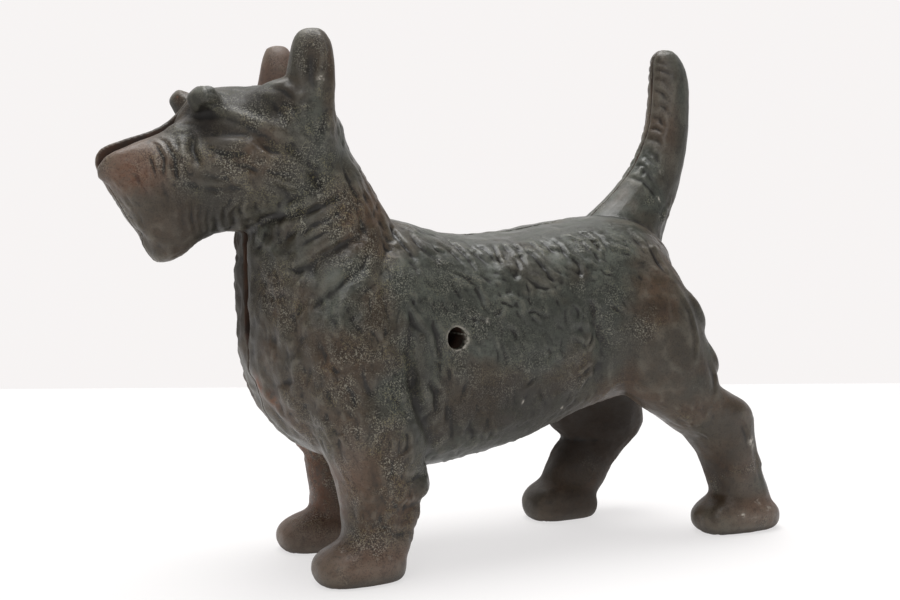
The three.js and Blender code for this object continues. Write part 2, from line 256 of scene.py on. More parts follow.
# Modelled hair, seen from the side: half width, depth, share of it raised as a lip on the left of
# the path, then the path. A negative depth raises a ridge.
strokes = [
    # brow and eye
    [1.9, 1.5, 0.4, [(-100, 148.6), (-96, 149), (-92, 148)]],
    [1.4, 0.9, 0.9, [(-92, 147.6), (-87, 145.6), (-80, 142)]],
    [2.4, 1.2, 0.4, [(-85, 142.6), (-79, 139.6), (-72, 137), (-68, 134)]],
    [1.0, 1.1, 0.3, [(-102, 153.6), (-99, 151.4), (-95.4, 151.8), (-92, 151)]],
    [0.9, 0.5, 0.5, [(-97.6, 157), (-95, 154.4)]],
    [0.9, 0.5, 0.4, [(-93, 156), (-90, 153.6)]],
    [1.6, -1.12, 0, [(-98, 140.6), (-94, 139.6), (-87, 140.4)]],
    [1.5, 1.33, 0.5, [(-96, 137.2), (-91, 136.6), (-85, 136)]],
    [2.0, -1.33, 0, [(-88, 137.4), (-80, 134.8), (-70, 134.6)]],
    [1.6, 1.0, 0.4, [(-87, 132.6), (-79, 130.4), (-71, 130.4)]],
    [1.4, 0.4, 0.3, [(-90, 151), (-84, 149), (-77, 147.6)]],
    [1.5, 0.8, 0.6, [(-92, 134.6), (-86, 132.4), (-82, 128)]],
    [1.4, 0.7, 0.6, [(-84, 138.6), (-78, 136.6), (-74, 133)]],
    [1.5, 0.8, 0.5, [(-98, 130.4), (-93, 128.6), (-88, 124)]],
    [1.6, -0.8, 0, [(-96, 133), (-90, 130.6), (-84, 125.6)]],
    [1.3, 0.7, 0.6, [(-80, 127.6), (-75, 125.6), (-70, 122)]],
    # muzzle
    [0.76, 0.84, 0.9, [(-111, 139), (-109.6, 135), (-109.8, 130)]],
    [0.95, 0.98, 0.8, [(-108.6, 140), (-106.8, 135), (-106.4, 127.6)]],
    [0.76, 0.7, 0.8, [(-105.6, 141), (-105.8, 136), (-103.4, 130)]],
    [0.66, 0.49, 0.8, [(-113.6, 136), (-112.4, 132), (-112, 129)]],
    [1.33, 1.68, 0.9, [(-100.6, 142), (-101.4, 138), (-100.2, 133)]],
    [1.04, 0.7, 0.6, [(-103.4, 133), (-101, 127)]],
    [1.14, 0.35, 0.6, [(-121, 134.6), (-118, 130.4), (-115.6, 126), (-112.4, 121)]],
    [0.95, 0.31, 0.5, [(-110.6, 128), (-109, 124), (-108.6, 120)]],
    [1.23, 0.88, 0.6, [(-104, 127), (-97, 125.6), (-88, 125.6)]],
    [0.85, 0.34, 0.6, [(-104.8, 121), (-104.6, 117), (-102.6, 112)]],
    [0.66, 0.46, 0.6, [(-102, 122), (-101.6, 117), (-99.4, 112)]],
    [0.95, 0.39, 0.6, [(-99.4, 122), (-99.4, 116), (-97, 112)]],
    [0.66, 0.39, 0.6, [(-97.2, 120), (-96.8, 116), (-94.8, 112)]],
    [0.85, 0.38, 0.6, [(-94.6, 121.6), (-94.2, 117), (-91.6, 113)]],
    [0.76, 0.29, 0.6, [(-92, 120), (-91.2, 116.4), (-89.4, 114)]],
    [0.95, 0.34, 0.6, [(-89.6, 122), (-89, 118), (-86, 114)]],
    # ear
    [0.9, -1.3, 0, [(-63.6, 174.6), (-63, 169), (-63.6, 163), (-65.4, 155)]],
    [1.3, -0.7, 0, [(-60, 172), (-59.2, 163), (-60, 155), (-62, 146), (-64.4, 139)]],
    [1.6, 0.9, 0.3, [(-61.6, 151), (-64, 145), (-66.6, 138)]],
    [1.1, 0.6, 0.6, [(-79, 157.6), (-75, 156), (-71.6, 152)]],
    [1.1, 0.5, 0.6, [(-77, 153.6), (-73, 151), (-71, 146)]],
    [1.1, 0.5, 0.6, [(-82, 154), (-78, 152), (-75, 148)]],
    # ruff
    [2.22, -0.94, 0, [(-56, 129.4), (-62, 123.8), (-72, 119.6)]],
    [1.45, 1.44, 0.3, [(-79, 116), (-72, 118.2), (-66, 120), (-55, 125.4)]],
    [1.71, -0.7, 0, [(-57, 121.4), (-64, 118), (-72, 114.6)]],
    [1.11, 1.1, 0.3, [(-70, 112.8), (-63, 116), (-57, 119.4)]],
    [1.62, -0.7, 0, [(-58, 117.6), (-68, 111.4)]],
    [1.11, 0.99, 0.3, [(-69, 109.2), (-60, 114)]],
    [1.62, -0.62, 0, [(-60, 112), (-71, 107.2)]],
    [2.14, 2.21, 0.4, [(-73, 99), (-67, 102.8), (-61, 106.6), (-52, 111.4), (-47, 117)]],
    [2.22, -1.01, 0, [(-53, 105), (-62, 98), (-70, 93.4)]],
    [1.54, 1.33, 0.3, [(-68, 90), (-61, 95.4), (-53, 101.6)]],
    [1.45, -0.7, 0, [(-50, 99), (-57, 92), (-64, 87)]],
    [1.37, -0.62, 0, [(-53, 138), (-50, 132), (-47.4, 125)]],
    [1.2, 0.99, 0.4, [(-55.4, 134), (-53.4, 129), (-51, 123)]],
    [1.28, -0.62, 0, [(-49, 124), (-47, 119), (-46, 113)]],
    [1.2, 0.99, 0.4, [(-52, 121), (-50.4, 116), (-47.6, 110)]],
    [1.2, 0.99, 0.6, [(-43.4, 120), (-42, 115), (-39.6, 108)]],
    [0.94, 1.1, 0.7, [(-37.4, 114.4), (-36, 110), (-33, 104)]],
    [0.94, 0.88, 0.6, [(-31, 112), (-29, 108), (-25.6, 103.6)]],
    [1.28, 0.88, 0.5, [(-79.6, 109), (-77, 104), (-76.4, 98)]],
    [1.28, 0.88, 0.5, [(-80.4, 99), (-78.4, 94), (-78, 88)]],
    # chest and shoulder
    [1.3, 1.17, 0.6, [(-71.4, 90.6), (-73.4, 86), (-73.8, 80)]],
    [1.3, 1.04, 0.6, [(-71, 82), (-73, 75)]],
    [1.2, 1.04, 0.6, [(-74.6, 75), (-74.6, 70), (-73.2, 64)]],
    [1.1, 0.91, 0.5, [(-76, 63), (-75, 58), (-73, 54)]],
    [1.3, 1.04, 0.6, [(-67.6, 54), (-66, 48), (-63.4, 45)]],
    [1.3, 0.78, 0.5, [(-66.4, 66), (-64.4, 61), (-62.6, 57)]],
    [1.3, 0.78, 0.5, [(-60.8, 67), (-58, 63), (-56.8, 58)]],
    [1.3, 1.04, 0.6, [(-61.6, 54), (-62.6, 49), (-59.6, 44)]],
    [1.6, -0.78, 0, [(-52, 46), (-50.4, 52), (-42.6, 56)]],
    [1.5, 1.04, 0.4, [(-67, 80), (-65.4, 73), (-61.6, 68)]],
    [1.6, 0.78, 0.4, [(-58, 91), (-56.6, 84), (-51.6, 78)]],
    [2.2, 2.21, 0.6, [(-36.6, 86), (-38.6, 76), (-37, 66), (-36, 60), (-32.6, 53), (-27, 45)]],
    [1.4, -1.04, 0, [(-35.8, 71.4), (-33.4, 66), (-34.2, 59.6)]],
    [1.5, 1.43, 0.5, [(-33, 66.6), (-28, 61), (-28, 56), (-31.6, 52)]],
    [1.1, 1.04, 0.8, [(-38.6, 89), (-36.6, 84), (-33, 79.6)]],
    [1.4, 0.91, 0.6, [(-31, 86), (-28, 79), (-27, 71)]],
    [1.6, 1.17, 0.4, [(-24, 57), (-20.6, 50), (-19, 43)]],
    [1.5, 1.0, 0.5, [(-77.6, 73), (-76.6, 68), (-74, 63)]],
    [1.5, 1.0, 0.5, [(-71.6, 66), (-70.4, 61), (-68, 57)]],
    [1.4, 0.9, 0.5, [(-70.6, 58), (-68.6, 53), (-66.4, 50)]],
    [1.6, 0.8, 0.4, [(-77.6, 84), (-77.4, 78), (-76, 74)]],
    [1.3, 0.7, 0.5, [(-55, 70), (-53.4, 65), (-51, 61)]],
    # locks down the back of the front leg
    [1.5, 0.7, 0.5, [(-46, 37.6), (-38, 33.4), (-28.4, 34.6)]],
    [1.5, 0.8, 0.6, [(-47, 28.6), (-40, 24.4), (-31, 25.4)]],
    [1.5, 0.7, 0.6, [(-47, 20), (-41, 15.6), (-33, 16.4)]],
    [1.4, 0.6, 0.4, [(-52.4, 42), (-49, 33), (-46.4, 23)]],
    [1.4, 0.5, 0.4, [(-57.6, 37), (-55, 28), (-54.6, 19)]],
    # flank
    [0.72, 0.75, 1.1, [(-17, 111.6), (-14, 108), (-12, 104), (-11, 101)]],
    [0.72, 0.61, 0.9, [(-20, 108), (-17, 106), (-15, 102)]],
    [0.58, 0.54, 1.1, [(-9.6, 111), (-7.8, 108.6), (-7.2, 105.6)]],
    [0.65, 0.61, 1.2, [(-7, 108.8), (-3.8, 106.8), (-2.2, 103)]],
    [0.79, 0.54, 0.9, [(-10, 106), (-7.4, 104.6), (-5.8, 101.8)]],
    [0.58, 0.61, 1.1, [(1, 108), (-0.4, 105), (-1, 101)]],
    [0.72, 0.61, 1.1, [(1.6, 111), (4.2, 109), (5.4, 105)]],
    [0.58, 0.61, 1.2, [(6, 110.6), (8.6, 108.6), (9.8, 104.8)]],
    [0.58, 0.48, 1.0, [(13, 110.8), (15.4, 109.4), (16.4, 106.6)]],
    [0.86, 0.82, 1.1, [(9, 106.4), (12.6, 105), (14.8, 100.8), (17.4, 94.6)]],
    [0.65, 0.61, 1.1, [(17.6, 111), (20.4, 109), (21.4, 105.4)]],
    [0.79, 0.61, 1.0, [(23, 110.4), (25, 107.8), (25, 103)]],
    [0.58, 0.54, 1.0, [(29.6, 111), (33.6, 109), (35, 105.8)]],
    [0.65, 0.68, 1.3, [(34, 113.4), (38, 111), (40.2, 104.8)]],
    [0.79, 0.54, 0.9, [(34.4, 106.6), (36.6, 105), (37.4, 101.6)]],
    [0.86, 0.61, 1.0, [(25, 105), (28.6, 101.6), (28.4, 98.6), (26.4, 96)]],
    [0.94, 0.48, 0.8, [(5.6, 103.6), (5.2, 100.6), (2.6, 97.4)]],
    [1.08, 0.48, 0.7, [(-16, 98.6), (-12.6, 95.6), (-11, 90)]],
    [1.15, 0.48, 0.7, [(-21, 98), (-19.8, 94), (-18, 89)]],
    [1.15, 0.54, 0.7, [(2, 99), (7, 97), (13, 92.6)]],
    [1.08, 0.48, 0.6, [(23, 100), (27.6, 98.6), (32, 94.6)]],
    [1.15, 0.41, 0.7, [(-26, 93.6), (-25.4, 89), (-22.6, 84.6)]],
    [1.01, 0.48, 0.6, [(0, 61.6), (1.4, 57), (4.4, 52.6)]],
    [0.94, 0.48, 0.6, [(11, 60.4), (13, 56.4), (16, 53.6)]],
    [1.01, 0.48, 0.6, [(-8.6, 53), (-6.4, 48), (-2.6, 44)]],
    [0.94, 0.48, 0.6, [(-15.6, 53), (-13.4, 48), (-9.6, 43)]],
    [1.15, 0.54, 0.5, [(16, 47), (25, 49.6), (32, 55)]],
    # thigh, rump and hind leg
    [2.8, 1.5, 0.4, [(32, 94), (33, 83), (35.4, 77), (40, 71.6)]],
    [2.4, 1.2, 0.4, [(36, 73), (37, 65), (41, 56)]],
    [1.2, 0.7, 0.8, [(27.6, 62.6), (31, 65), (33.6, 66)]],
    [1.2, 0.7, 0.8, [(30.6, 59), (33, 61.6), (35.4, 62.6)]],
    [1.2, 0.45, 0.8, [(65, 93.6), (71, 84), (72.6, 74), (71, 68)]],
    [1.1, 0.9, 0.8, [(60.6, 109), (62, 104), (64, 98)]],
    [1.4, 0.6, 0.6, [(55.4, 113), (57.6, 108), (58.6, 102)]],
    [1.6, 0.6, 0.5, [(79.6, 68), (83, 61), (82, 55)]],
    [1.6, 0.5, 0.5, [(96, 43), (99.6, 38), (101.4, 33)]],
    [1.2, 0.4, 0.5, [(104, 34), (108, 24), (111, 16)]],
    # tail
    [1.6, -0.8, 0, [(88, 180), (88, 171), (86, 160), (83.6, 148), (81, 138), (78.4, 130)]],
    [0.8, 0.42, 0.3, [(81, 179), (83, 176.4), (85, 175.4)]],
    [0.7, 0.51, 0.3, [(81, 174.8), (84, 173), (86, 171.8)]],
    [0.9, 0.42, 0.3, [(81, 171), (83.6, 169.6), (85, 166.4)]],
    [0.8, 0.51, 0.3, [(81, 167), (83.4, 164.6), (84.6, 161.6)]],
    [0.7, 0.42, 0.3, [(82, 160.6), (83.6, 159.6), (85, 156.6)]],
    [0.9, 0.51, 0.3, [(80, 157), (82, 155.4), (83.4, 151)]],
    [0.7, 0.51, 0.3, [(79, 151.6), (81, 151.6), (82.6, 149.8)]],
    [0.9, 0.42, 0.3, [(78.4, 148), (80.8, 146.8), (82.4, 142.6)]],
    [0.8, 0.51, 0.3, [(77, 142.4), (79, 141), (79.6, 137.6)]],
    [0.9, 0.42, 0.3, [(74.6, 141), (76.4, 140.6), (78, 137)]],
    [0.7, 0.42, 0.3, [(72, 137.6), (74, 137.6), (76, 135.4)]],
    [1.0, 0.51, 0.3, [(73, 136), (75, 134.6), (76.8, 130)]],
    [0.8, 0.59, 0.3, [(68, 133.8), (72.6, 131.6), (77, 125)]],
]

# Which way the smaller hair lies, seen from the side: x, z, along x, along z
hairDirections = [
    [-120, 128, 0.3, -1.0], [-108, 112, 0.2, -1.0], [-100, 140, 0.9, -0.5], [-90, 120, 0.25, -1],
    [-85, 155, 1, 0.05], [-80, 135, 0.9, -0.5], [-62, 160, 0.3, 1.0], [-62, 140, 0.5, -0.9],
    [-50, 130, 0.5, -0.9], [-65, 110, -0.8, -0.5], [-50, 105, -0.6, -0.8], [-75, 90, -0.3, -1],
    [-60, 75, -0.1, -1], [-35, 110, 0.3, -0.9], [-35, 80, 0.05, -1], [-60, 50, 0, -1], [-48, 25, 0.15, -1],
    [-10, 108, 0.9, -0.5], [-10, 80, 0.5, -0.9], [0, 50, 0.2, -1], [20, 108, 0.85, -0.55],
    [20, 80, 0.5, -0.9], [25, 55, 0.2, -1], [45, 112, 0.9, -0.45], [45, 85, 0.6, -0.8], [50, 60, 0.3, -1],
    [65, 105, 0.6, -0.8], [70, 85, 0.5, -0.9], [75, 65, 0.45, -0.9], [90, 45, 0.6, -0.8],
    [105, 25, 0.3, -1], [75, 130, 0.35, 1], [88, 150, 0.15, 1], [90, 172, 0, 1],
]

# Places with little small hair: x, z, half width, half height
smoothPlaces = [
    [62, 74, 24, 24], [-84, 152, 15, 6], [-118, 140, 12, 7], [-106, 116, 9, 10], [-50, 4, 26, 11],
    [108, 8, 22, 14], [98, 40, 14, 22], [88, 155, 12, 30], [60, 5, 24, 12], [-66, 166, 10, 12],
    [84, 62, 12, 12], [70, 124, 12, 10],
]


def ellipseShare(points, x, z, wide, high, lean=0):
    # squared distance from the middle of an ellipse seen from the side, 1 on its edge
    turn = math.radians(lean)
    dx, dz = points[:, 0] - x, points[:, 2] - z
    u = dx * math.cos(turn) + dz * math.sin(turn)
    v = dz * math.cos(turn) - dx * math.sin(turn)
    return (u / wide) ** 2 + (v / high) ** 2


def placesWeight(points, places):
    # the strongest of the places at each point; a place with no amount counts in full
    total = np.zeros(len(points))
    for x, z, wide, high, *amount in places:
        strength = amount[0] if amount else 1
        fall = np.exp(-0.9 * ellipseShare(points, x, z, wide, high) ** 1.4)
        total = np.maximum(total, strength * fall)
    return total


def hairDirection(points, blur=16):
    # the nearest guides count most; blur, in square millimetres, rounds the changes off
    guides = np.array(hairDirections)
    gap = ((points[:, None, [0, 2]] - guides[None, :, :2]) ** 2).sum(2) + blur
    weight = gap ** -2
    flow = (weight[:, :, None] * guides[None, :, 2:]).sum(1)
    flow = flow / np.linalg.norm(flow, axis=1)[:, None]
    return np.stack([flow[:, 0], np.zeros(len(flow)), flow[:, 1]], 1)


def nearestOnPath(here, path):
    # for each point: distance from the path, the same with its side as the sign, and share of the way along
    nearest = np.full(len(here), 1e9)
    signed = np.zeros(len(here))
    share = np.zeros(len(here))
    lengths = np.linalg.norm(np.diff(path, axis=0), axis=1)
    total, done = lengths.sum(), 0
    for a, b, length in zip(path[:-1], path[1:], lengths):
        along = (b - a) / length
        t = ((here - a) @ along).clip(0, length)
        off = here - a - t[:, None] * along
        gap = np.linalg.norm(off, axis=1)
        closer = gap < nearest
        nearest[closer] = gap[closer]
        signed[closer] = (np.sign(along[0] * off[:, 1] - along[1] * off[:, 0]) * gap)[closer]
        share[closer] = ((done + t) / total)[closer]
        done += length
    return nearest, signed, share


def strokeRelief(points, weight, width, depth, lip, path):
    # a tapered groove or ridge along the path
    path = np.array(path, float)
    flat = points[:, [0, 2]]
    low, high = path.min(0) - width * 4, path.max(0) + width * 4
    near = np.where(((flat > low) & (flat < high)).all(1) & (weight > 0.01))[0]
    relief = np.zeros(len(points))
    if not len(near):
        return relief
    gap, signed, share = nearestOnPath(flat[near], path)
    taper = np.sin(np.pi * (0.06 + 0.88 * share)) ** 0.8
    groove = -np.exp(-((gap / width) ** 2))
    raised = lip * np.exp(-(((signed - 1.6 * width) / (1.1 * width)) ** 2))
    relief[near] = depth * taper * (groove + raised) * weight[near]
    return relief


hair = {
    "seed": 11,
    "locks": 1300,
    "length": 8,
    "width": 2.0,
    "height": 0.25,
    "turn": 0.4,  # most that a lock turns off the lie of the hair, as a slope
    "sizes": (0.6, 1.35),
    "bend": 1.2,
    "dip": 0.45,  # depth of the crease beside a lock, as a share of its height
    "lowest": 14,  # no locks below this height
    "strays": 150,
    "strayTurn": 0.5,  # radians
    "strayStep": (1.1, 2.6),
    "strayWidth": (0.5, 1.3),
    "strayDepth": (0.2, 0.55),
    "strayLip": (0.5, 1.2),
}


def locksRelief(points, normals, seeds, rng):
    # short overlapping locks, each rising to a blunt tip that drops away
    tree = kdtree.KDTree(len(points))
    for i, p in enumerate(points):
        tree.insert(p, i)
    tree.balance()
    relief = np.zeros(len(points))
    directions = hairDirection(points[seeds])
    for seed, flow in zip(seeds, directions):
        normal = normals[seed]
        turn = rng.uniform(-hair["turn"], hair["turn"])
        size = rng.uniform(*hair["sizes"])
        along = flow - normal * flow.dot(normal)
        if np.linalg.norm(along) < 0.3:
            continue
        along /= np.linalg.norm(along)
        across = np.cross(normal, along)
        along, across = along + turn * across, across - turn * along
        half = hair["length"] * size / 2
        found = [i for _, i, _ in tree.find_range(points[seed], half * 1.25)]
        local = points[found] - points[seed]
        u = local @ along / half
        v = local @ across - rng.uniform(-1, 1) * hair["bend"] * u * u
        facing = np.clip(normals[found] @ normal, 0, 1) ** 2
        rise = np.clip(u * 0.5 + 0.5, 0, 1) ** 0.8
        ramp = rise * (1 - smoothStep(0.7, 1.0, u)) * smoothStep(-1.1, -0.5, u)
        wide = hair["width"] * size * (1 - 0.4 * smoothStep(-0.2, 1, u))
        crest = np.cos(np.clip(np.abs(v) / wide, 0, 1) * np.pi / 2) ** 1.2
        crest = crest - hair["dip"] * np.exp(-(((np.abs(v) - wide) / (0.3 * wide)) ** 2))
        relief[found] += hair["height"] * size * ramp * crest * facing
    return relief


# Where stray strokes are laid: x from, x to, z from, z to, share of them
strayAreas = [
    [-28, 44, 84, 113, 0.34], [-28, 40, 46, 90, 0.2], [-76, -34, 50, 128, 0.3], [-96, -62, 122, 142, 0.08],
    [-60, -34, 16, 50, 0.08],
]


def strayStrokes(rng):
    # more strokes of the same kind, laid by chance along the hair of the body, neck and legs
    made = []
    for x0, x1, z0, z1, share in strayAreas:
        for _ in range(int(hair["strays"] * share)):
            start = np.array([rng.uniform(x0, x1), 0, rng.uniform(z0, z1)])
            flow = hairDirection(start[None])[0]
            turn = rng.normal(0, hair["strayTurn"])
            bend = rng.normal(0, hair["strayTurn"])
            path = [start[[0, 2]]]
            for step in (0, 1, 2):
                angle = math.atan2(flow[2], flow[0]) + turn + bend * step
                way = np.array([math.cos(angle), math.sin(angle)])
                path.append(path[-1] + rng.uniform(*hair["strayStep"]) * way)
            width, depth = rng.uniform(*hair["strayWidth"]), rng.uniform(*hair["strayDepth"])
            made.append([width, depth, rng.uniform(*hair["strayLip"]), path])
    return made


screwPlace = {"x": -21, "z": 78.5}
pinPlaces = [(-108, 126), (84, 134)]
# Bars along Y that fill a hole while the skin is sculpted, or cut it again: radius, from y, to y
nearBars = {
    "plug": (4.4, -30.5, -0.4), "bore": (3.5, -60, 5),
    "pinPlug": (3.3, -7, -0.4), "pinSocket": (2.8, -5.75, 4),
}
farBars = {"plug": (4.6, 0.4, 34), "bore": (3.7, -5, 60), "seat": (7.4, 34.5, 60)}


def layClay(bm, side):
    for x, y, z, long, thick, high, lean, which in clay:
        if which in (0, side):
            turn = Matrix.Rotation(-math.radians(lean), 4, "Y")
            grow = Matrix.Diagonal((long / 1000, thick / 1000, high / 1000, 1))
            place = Matrix.Translation(spot(x, side * y, z))
            bmesh.ops.create_icosphere(bm, subdivisions=3, radius=1, matrix=place @ turn @ grow)


def plugged(bm, side):
    bars = nearBars if side < 0 else farBars
    rod(bm, *bars["plug"], **screwPlace)
    if side < 0:
        for place in pinPlaces:
            rod(bm, *bars["pinPlug"], *place)


def cutAgain(piece, side):
    bm = bmesh.new()
    if side < 0:
        rod(bm, *nearBars["bore"], **screwPlace)
        for place in pinPlaces:
            rod(bm, *nearBars["pinSocket"], *place)
    else:
        rod(bm, *farBars["bore"], **screwPlace)
        rod(bm, *farBars["seat"], **screwPlace)
    tool = newPiece("cutter", bm)
    boolean = piece.modifiers.new("cut", "BOOLEAN")
    boolean.object = tool
    boolean.operation = "DIFFERENCE"
    for solver in ("MANIFOLD", "EXACT"):  # the second is there in case the first gives the mesh up
        boolean.solver = solver
        bpy.context.view_layer.update()
        found = len(piece.evaluated_get(bpy.context.evaluated_depsgraph_get()).data.vertices)
        if found not in (0, len(piece.data.vertices)):
            break
    mesh = applied(piece)
    bpy.data.objects.remove(tool)
    return mesh


def setAttribute(mesh, name, values):
    attribute = mesh.attributes.new(name, "FLOAT", "POINT")
    attribute.data.foreach_set("value", values.astype(np.float32))


# Where the walk over the outside has to stop
gates = {
    "slotHalfWidth": 3.4,
    "slot": (0, 40),  # from x, to x
    "slotFoot": 98,  # the walls of the slot go down to here
    "slotTop": 110.8,  # above this the edges of the slot are outside too
    "seam": 0.7,
    "bore": 4.1,
    "boreEnd": 33.2,
}


def fromScrew(points):
    return np.hypot(points[:, 0] - screwPlace["x"], points[:, 2] - screwPlace["z"])


def outsideOf(points, normals, edges):
    # walks over the skin from the nose and stops at the seam, the slot and the screw hole: what it
    # misses is the room
    x, z, depth = points[:, 0], points[:, 2], np.abs(points[:, 1])
    slot = (depth < gates["slotHalfWidth"]) & (x > gates["slot"][0]) & (x < gates["slot"][1])
    slot = slot & (z > gates["slotFoot"])
    seam = (depth < gates["seam"]) & (np.abs(normals[:, 1]) > 0.75)
    bore = fromScrew(points) < gates["bore"]
    free = ~(slot | seam | bore)
    a, b = edges[free[edges].all(1)].T
    reached = np.zeros(len(points), bool)
    reached[np.argmin(x)] = True
    while True:
        grown = reached.copy()
        grown[a[reached[b]]] = True
        grown[b[reached[a]]] = True
        if grown.sum() == reached.sum():
            break
        reached = grown
    return reached | (slot & (z > gates["slotTop"])) | (bore & (depth > gates["boreEnd"]))


# Where the paint has turned brown, stayed green, or lets sand show through: x, z, half width, half
# height, amount
brownPlaces = [
    [-116, 134, 11, 12, 0.85], [-108, 116, 12, 12, 1], [-76, 86, 9, 24, 0.6], [-66, 60, 16, 18, 0.8],
    [-48, 26, 20, 24, 0.7], [-52, 5, 26, 10, 1], [62, 74, 22, 24, 0.75], [92, 42, 18, 26, 0.85],
    [108, 6, 24, 12, 1], [86, 145, 10, 22, 0.45], [-86, 134, 22, 20, 0.65], [-56, 120, 22, 22, 0.45],
    [58, 40, 34, 26, 0.9], [62, 96, 14, 12, 0.7], [-50, 92, 12, 10, 0.35], [-60, 150, 5, 22, 0.4],
    [56, 6, 30, 14, 1],
]
greenPlaces = [[6, 98, 42, 20, 0.4]]
sandyPlaces = [
    [-64, 118, 15, 13, 1], [-86, 136, 20, 14, 0.9], [-50, 100, 14, 12, 0.8], [-40, 36, 12, 20, 0.8],
    [-50, 14, 10, 6, 0.9], [-74, 96, 8, 16, 0.7], [-70, 150, 9, 9, 1], [-108, 133, 9, 7, 0.7],
    [20, 108, 46, 5, 0.45], [40, 84, 10, 12, 0.5], [-62, 130, 6, 8, 0.9], [-66, 162, 6, 14, 0.7],
    [0, 60, 40, 20, 0.35], [-50, 62, 20, 24, 0.8], [-84, 151, 15, 8, 0.8], [-18, 84, 14, 24, 0.5],
    [-45, 40, 16, 26, 0.8],
]
# Rust spots: x, y, z, radius, amount
rustSpots = [
    [-77.6, -4, 63, 3.2, 0.5], [-75.6, -11, 58, 3, 0.4], [-120, -9, 132, 5, 0.16], [-115, -11, 128, 4, 0.1],
    [-60, -20, 25, 5, 0.3], [-56, 24, 34, 12, 0.25], [-50, 24, 18, 10, 0.25], [-56, 21, 175, 1.8, 1],
    [-60, 21, 172, 3, 0.3], [-58, 18, 36, 6, 0.3],
]
# Spots knocked bare on the near side: x, z, radius
chipSpots = [
    [103, 35, 1.1], [104.6, 33, 0.7], [99, 8, 0.8], [104, 6, 0.7], [112, 9, 0.8], [107, 12, 0.6],
    [-66, 4, 0.6], [-44, 9, 0.5], [-58, 12, 0.5], [78, 125, 0.6], [80, 135, 0.6], [-64.4, 160, 0.9],
    [5, 56, 0.6], [-10, 84, 0.6], [24, 52, 0.5], [60, 84, 0.4],
]
# Where painted shade darkens and dulls the paint, or the paint is pale; the far half has a few more of its
# own
paintedShadePlaces = [
    [4, 53, 40, 13, 0.7], [93, 27, 4, 12, 0.5], [-35, 66, 3, 16, 0.6], [62, 68, 20, 22, 0.2],
    [94, 36, 15, 18, 0.25], [-96, 117, 13, 10, 0.65], [-82, 154, 14, 6, 0.7], [-66, 164, 6, 14, 0.3],
    [-108, 112, 8, 8, 0.3], [-96, 144, 7, 6, 0.9], [-101, 152, 4, 3.4, 0.65], [-104, 144, 6, 4, 0.3],
    [-82, 92, 5, 24, 0.6], [-62, 70, 14, 16, 0.15], [92, 155, 5, 32, 0.15], [40, 62, 10, 16, 0.35],
    [-30, 60, 8, 16, 0.3], [64, 100, 12, 12, 0.15],
]
palePlaces = [
    [84, 158, 4, 24, 0.22], [103, 24, 5, 12, 0.25], [-50, 9, 20, 6, 0.6], [108, 9, 14, 5, 0.5],
    [-117, 134, 11, 9, 0.5], [-57, 38, 4, 14, 0.35],
]
farPaintedShadePlaces = [
    [66, 34, 34, 24, 1], [-44, 36, 22, 18, 0.5], [62, 6, 26, 10, 0.75], [-84, 97, 8, 26, 1],
    [-114, 143, 16, 5, 0.5],
]
farPalePlaces = [[-62, 166, 12, 14, 1], [-50, 8, 22, 8, 0.3]]


def roughForm(nodeName, side):
    # the plain half with its clay on, as an even skin
    bm = bmesh.new()
    bm.from_mesh(frame["nodes"][nodeName].data)
    bmesh.ops.remove_doubles(bm, verts=bm.verts, dist=1e-6)
    plugged(bm, side)
    layClay(bm, side)
    piece = newPiece(nodeName + "_casting", bm)
    remesh = piece.modifiers.new("skin", "REMESH")
    remesh.mode = "VOXEL"
    remesh.voxel_size = casting["grid"] / 1000
    return piece


def blended(start, edges):
    # the joins of the rough form are worked smooth, and the seam keeps its edge
    points, count = start, len(start)
    for _ in range(casting["blend"]):
        points = points + casting["drawIn"] * (neighbourMean(points, edges, count) - points)
        points = points - casting["letOut"] * (neighbourMean(points, edges, count) - points)
    crisp = smoothStep(0.2, 1.6, np.abs(start[:, 1]))[:, None]
    points = start + (0.3 + 0.7 * crisp) * (points - start)
    soft = placesWeight(points, softPlaces) * smoothStep(0.4, 3, np.abs(points[:, 1]))
    return softened(points, edges, soft, casting["soften"])


def massRelief(points, normals, side):
    outward = smoothStep(0.08, 0.5, normals[:, 1] * side)
    relief = np.zeros(len(points))
    for x, z, wide, high, lean, height in masses:
        relief += height * outward * np.exp(-1.2 * ellipseShare(points, x, z, wide, high, lean))
    return np.maximum(relief, -casting["carved"])


def hairRelief(points, normals, side):
    x, y, z = points.T
    outward = normals[:, 1] * side
    weight = fades((outward, 0.05, 0.45), (np.abs(y), 0.6, 2.5))
    # the hair fades out before it reaches the seam along the back
    back = fades((z, 96, 104), (x, -46, -38), (x, 68, 58))
    weight = weight * (1 - back * (1 - smoothStep(0.28, 0.62, outward)))
    furry = 1 - placesWeight(points, smoothPlaces)
    relief = waves(points, casting["waves"]) * (0.12 + 0.88 * furry)
    rng = np.random.RandomState(hair["seed"])
    for stroke in strokes + strayStrokes(rng):
        relief += strokeRelief(points, weight, *stroke)
    roots = np.where((weight > 0.25) & (z > hair["lowest"]))[0]
    seeds = rng.choice(roots, hair["locks"], replace=False)
    seeds = seeds[furry[seeds] > rng.uniform(0.15, 0.9, len(seeds))]
    relief += locksRelief(points, normals, seeds, rng) * smoothStep(0.1, 0.8, furry)
    most = np.where(relief > 0, casting["raised"], casting["sunk"])
    relief = most * np.tanh(relief / most)
    # the chest is ragged right up to the seam
    front = fades((x, -58, -68), (-normals[:, 0], 0.05, 0.6), (z, 43, 50), (z, 117, 112))
    return relief + front * waves(points, casting["chestWaves"])


# How far the halves miss each other, and how far the ears and brows are drawn out
shifts = {"muzzle": 2.5, "back": 0.7, "throat": 1.3, "nearEar": 1.2, "farEar": 0.2, "brow": 1.9}


